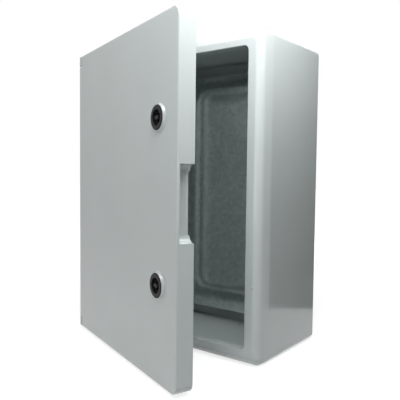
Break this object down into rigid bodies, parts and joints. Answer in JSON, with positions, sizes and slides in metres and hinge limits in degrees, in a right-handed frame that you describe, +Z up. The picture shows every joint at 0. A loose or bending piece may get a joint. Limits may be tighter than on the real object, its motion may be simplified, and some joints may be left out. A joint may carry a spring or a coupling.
{
  "type": "wall box",
  "caption": "Wall-mounting plastic enclosure with a side-hinged door, quarter-turn locks, a foam-sealed frame and a steel mounting plate inside.",
  "frame": {"origin": "centre of the back face that lies on the wall", "axes": "+Z up, +Y out of the back into the wall, front towards -Y, +X towards the lock side"},
  "size_m": [0.3, 0.2738, 0.4],
  "materials": {
    "abs_box": "light grey moulded ABS, satin gloss",
    "abs_door": "light grey moulded ABS, satin gloss",
    "galvanised_sheet": "galvanised, spangled",
    "zinc_steel": "zinc plated",
    "pin_steel": "bright drawn",
    "gasket_foam": "foamed, matt",
    "lock_black": "black, fine matt",
    "lock_barrel_black": "black, fine matt",
    "lock_rubber": "matt"
  },
  "bodies": {
    "box": {"box_body": "abs_box", "mounting_plate": "galvanised_sheet", "plate_screws": "zinc_steel", "plate_washers": "zinc_steel", "upper_hinge_pin": "pin_steel", "lower_hinge_pin": "pin_steel"},
    "door": {"door_panel": "abs_door", "door_gasket": "gasket_foam", "upper_lock_housing": "lock_black", "upper_lock_seal": "lock_rubber", "upper_lock_nut": "lock_black", "lower_lock_housing": "lock_black", "lower_lock_seal": "lock_rubber", "lower_lock_nut": "lock_black"},
    "upper_lock": {"upper_lock_barrel": "lock_barrel_black", "upper_lock_oring": "lock_rubber", "upper_lock_cam": "zinc_steel", "upper_lock_cam_screw": "zinc_steel"},
    "lower_lock": {"lower_lock_barrel": "lock_barrel_black", "lower_lock_oring": "lock_rubber", "lower_lock_cam": "zinc_steel", "lower_lock_cam_screw": "zinc_steel"}
  },
  "joints": [
    {"name": "door_hinge", "type": "hinge", "parent": "box", "child": "door", "pos_m": [-0.1397, -0.1626, 0], "axis": [0, 0, -1], "range_deg": [-20.7, 109.3]},
    {"name": "upper_lock_turn", "type": "hinge", "parent": "door", "child": "upper_lock", "pos_m": [0.0893, -0.26014, 0.089], "axis": [0.3535, 0.9354, 0], "range_deg": [0, 90]},
    {"name": "lower_lock_turn", "type": "hinge", "parent": "door", "child": "lower_lock", "pos_m": [0.0893, -0.26014, -0.089], "axis": [0.3535, 0.9354, 0], "range_deg": [0, 90]}
  ]
}
